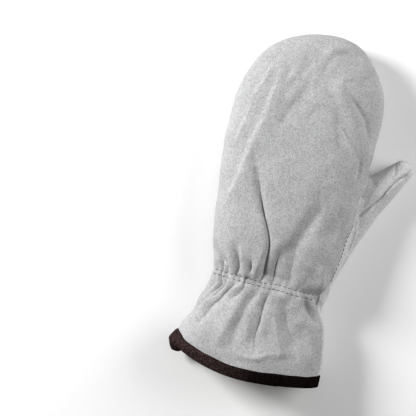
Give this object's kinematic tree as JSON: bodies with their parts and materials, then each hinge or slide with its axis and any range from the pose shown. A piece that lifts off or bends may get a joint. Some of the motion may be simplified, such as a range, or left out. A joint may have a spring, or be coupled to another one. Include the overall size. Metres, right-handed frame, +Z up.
{
  "type": "leather palm work mitt",
  "caption": "Work mitt of split leather for the right hand, with one thumb, a gathered wrist, a flared bound cuff and a curly pile lining, lying palm down.",
  "frame": {"origin": "on the ground under the middle of the mitt's bounding box", "axes": "+Y from the cuff to the fingertip, +X to the thumb's side, +Z up through the back of the hand"},
  "size_m": [0.177, 0.307, 0.0505],
  "materials": {
    "suede": "light grey split leather with a short matt nap",
    "binding": "dark brown suede tape",
    "pile": "cream pile in soft curls",
    "thread": "dark grey sewing thread"
  },
  "bodies": {
    "root": {"back_panel": "suede", "palm_panel": "suede", "thumb_panel": "suede", "edge_binding": "binding", "pile_lining": "pile"}
  },
  "joints": []
}
